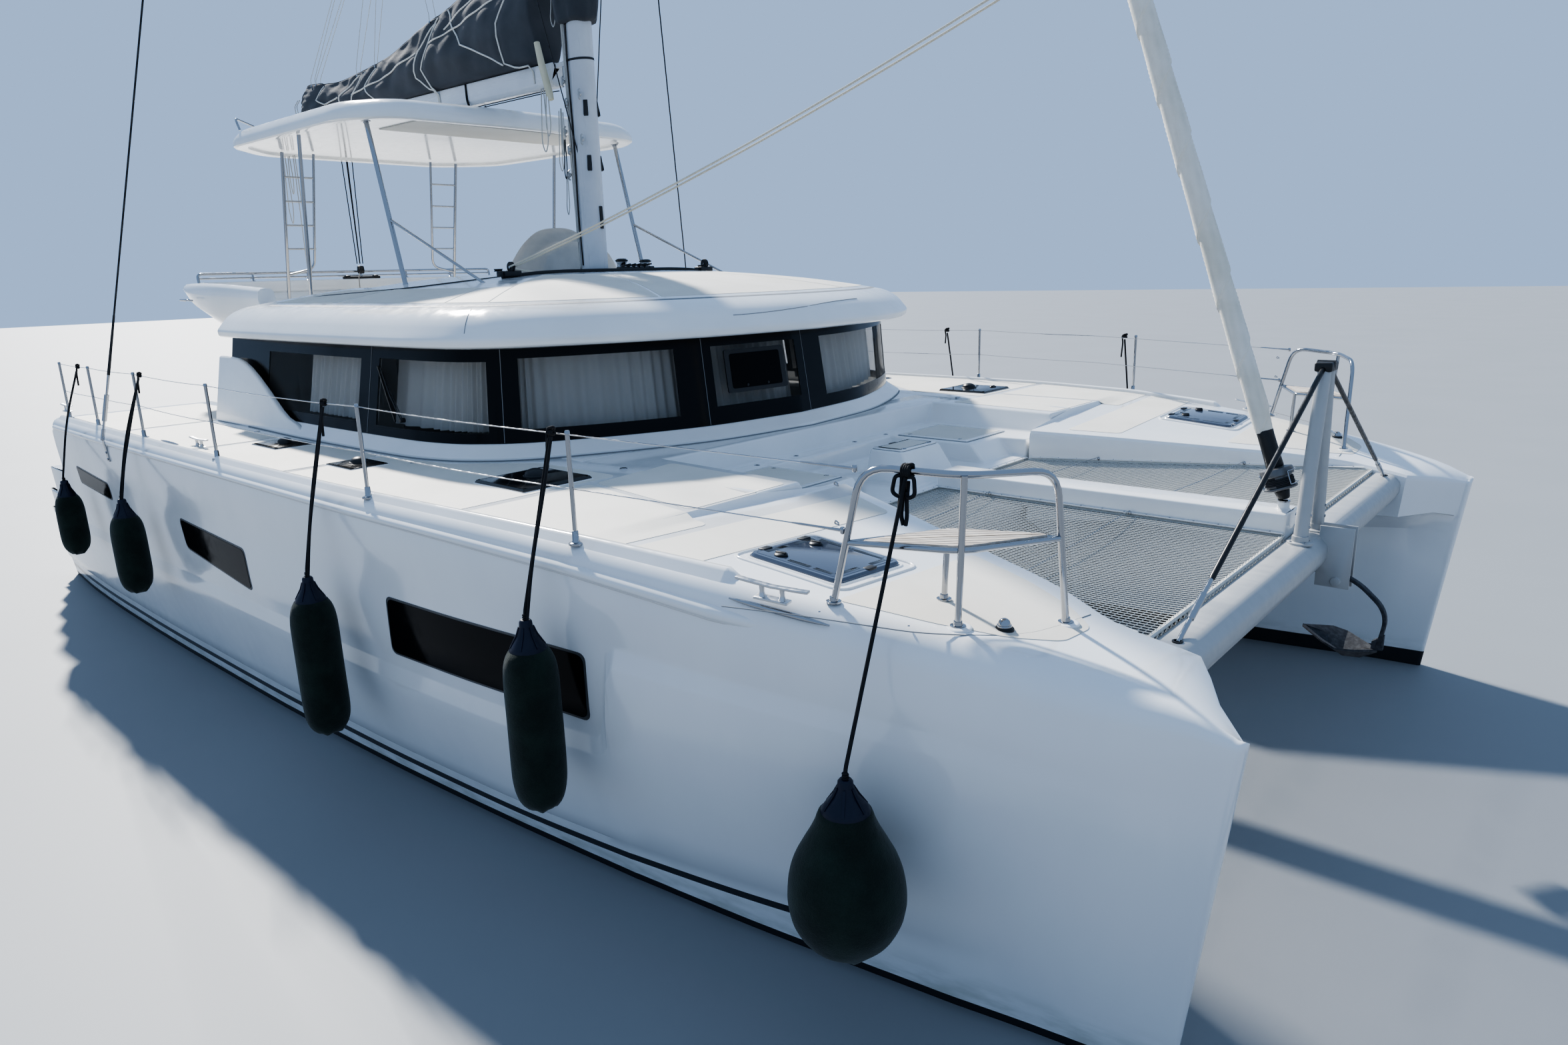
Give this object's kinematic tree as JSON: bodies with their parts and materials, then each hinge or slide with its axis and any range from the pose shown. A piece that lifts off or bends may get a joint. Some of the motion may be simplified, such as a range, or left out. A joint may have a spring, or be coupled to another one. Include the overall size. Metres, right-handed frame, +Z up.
{
  "type": "sailing catamaran",
  "caption": "Cruising sailing catamaran afloat, with glazed saloon, flybridge under a hardtop, furled headsail and mainsail stowed in its boom bag.",
  "frame": {"origin": "on the centre plane between the hulls, at the waterline, near amidships", "axes": "+X forward to the bows, +Y to port, +Z up"},
  "size_m": [13.99, 8.6, 24.05],
  "materials": {
    "gelcoat": "glossy white moulded laminate",
    "antifouling": "flat black bottom paint",
    "glazing": "dark tinted panes",
    "acrylic": "smoked acrylic",
    "stainless": "polished stainless steel",
    "alloy": "satin, clear coated",
    "spar": "light grey paint on aluminium",
    "bronze": "dull bronze",
    "netting": "grey knotless netting",
    "black_line": "dark line with steel ends",
    "sailcloth": "cream laminate cloth, rolled",
    "bag_cloth": "charcoal acrylic canvas",
    "cover_cloth": "light grey canvas",
    "fender_cloth": "dark green knitted cover",
    "galvanised": "dark galvanised steel",
    "teak": "oiled teak"
  },
  "bodies": {
    "boat": {"hull_port": "gelcoat", "hull_starboard": "gelcoat", "keel_port": "antifouling", "keel_starboard": "antifouling", "sail_drive_port": "alloy", "sail_drive_starboard": "alloy", "bridge_deck": "gelcoat", "foredeck": "gelcoat", "centre_beam": "gelcoat", "crossbeam": "alloy", "striker": "alloy", "net_port": "netting", "net_starboard": "netting", "anchor": "galvanised", "pulpit_port": "stainless", "pulpit_starboard": "stainless", "lifelines_port": "stainless", "lifelines_starboard": "stainless", "cabin_walls": "gelcoat", "cabin_glazing": "glazing", "cabin_roof": "gelcoat", "fly_deck": "gelcoat", "aft_bulkhead": "gelcoat", "saloon_furniture": "teak", "saloon_table": "teak", "cockpit_table": "teak", "helm_cover": "cover_cloth", "hardtop": "gelcoat", "front_post_port": "stainless", "front_post_starboard": "stainless", "ladder_port": "stainless", "ladder_starboard": "stainless", "mid_post_port": "stainless", "mid_post_starboard": "stainless", "mast": "spar", "shroud_port": "black_line", "shroud_starboard": "black_line", "sail_bag_front": "bag_cloth", "mainsheet": "black_line", "fender_1": "fender_cloth", "fender_2": "fender_cloth", "fender_3": "fender_cloth", "fender_4": "fender_cloth", "fender_5": "fender_cloth", "fender_6": "fender_cloth", "fender_7": "fender_cloth"},
    "boom": {"boom": "spar", "sail_bag": "bag_cloth"},
    "rudder_port": {"rudder_port": "antifouling"},
    "rudder_starboard": {"rudder_starboard": "antifouling"},
    "propeller_port": {"propeller_port": "bronze"},
    "propeller_starboard": {"propeller_starboard": "bronze"},
    "headsail": {"furled_headsail": "sailcloth"},
    "saloon_door": {"saloon_door": "glazing"},
    "locker_lid_port": {"locker_lid_port": "gelcoat"},
    "locker_lid_starboard": {"locker_lid_starboard": "gelcoat"},
    "foredeck_hatch_port": {"foredeck_hatch_port": "acrylic"},
    "foredeck_hatch_starboard": {"foredeck_hatch_starboard": "acrylic"},
    "side_hatch_port": {"side_hatch_port": "acrylic"},
    "side_hatch_starboard": {"side_hatch_starboard": "acrylic"}
  },
  "joints": [
    {"name": "boom_swing", "type": "hinge", "parent": "boat", "child": "boom", "pos_m": [-0.8, 0, 5.56], "axis": [0, 0, 1], "range_deg": [-50, 50]},
    {"name": "rudder_port_turn", "type": "hinge", "parent": "boat", "child": "rudder_port", "pos_m": [-6.1, 3.02, -0.33], "axis": [0, 0, 1], "range_deg": [-35, 35]},
    {"name": "rudder_starboard_turn", "type": "hinge", "parent": "boat", "child": "rudder_starboard", "pos_m": [-6.1, -3.02, -0.33], "axis": [0, 0, 1], "range_deg": [-35, 35]},
    {"name": "propeller_port_spin", "type": "hinge", "parent": "boat", "child": "propeller_port", "pos_m": [-4.55, 3.02, -0.83], "axis": [1, 0, 0], "continuous": true},
    {"name": "propeller_starboard_spin", "type": "hinge", "parent": "boat", "child": "propeller_starboard", "pos_m": [-4.55, -3.02, -0.83], "axis": [1, 0, 0], "continuous": true},
    {"name": "headsail_roll", "type": "hinge", "parent": "boat", "child": "headsail", "pos_m": [6.285, 0, 2.031], "axis": [-0.3408, 0, 0.9401], "continuous": true},
    {"name": "saloon_door_slide", "type": "slide", "parent": "boat", "child": "saloon_door", "axis": [0, 1, 0], "range_m": [0, 0.9]},
    {"name": "locker_lid_port_lift", "type": "hinge", "parent": "boat", "child": "locker_lid_port", "pos_m": [3.01, 1.64, 2.0003], "axis": [-1, 0, 0], "range_deg": [0, 85]},
    {"name": "locker_lid_starboard_lift", "type": "hinge", "parent": "boat", "child": "locker_lid_starboard", "pos_m": [3.01, -1.64, 2.0003], "axis": [1, 0, 0], "range_deg": [0, 85]},
    {"name": "foredeck_hatch_port_lift", "type": "hinge", "parent": "boat", "child": "foredeck_hatch_port", "pos_m": [4.52, 2.945, 2.09502], "axis": [0, -0.9988, -0.0489], "range_deg": [0, 75]},
    {"name": "foredeck_hatch_starboard_lift", "type": "hinge", "parent": "boat", "child": "foredeck_hatch_starboard", "pos_m": [4.52, -2.945, 2.09502], "axis": [0, -0.9988, 0.0489], "range_deg": [0, 75]},
    {"name": "side_hatch_port_lift", "type": "hinge", "parent": "boat", "child": "side_hatch_port", "pos_m": [1.99, 2.945, 2.19916], "axis": [0, -1, -0.0013], "range_deg": [0, 75]},
    {"name": "side_hatch_starboard_lift", "type": "hinge", "parent": "boat", "child": "side_hatch_starboard", "pos_m": [1.99, -2.945, 2.19916], "axis": [0, -1, 0.0013], "range_deg": [0, 75]}
  ],
  "couplings": [
    {"joint": "rudder_starboard_turn", "follows": "rudder_port_turn", "ratio": 1}
  ]
}
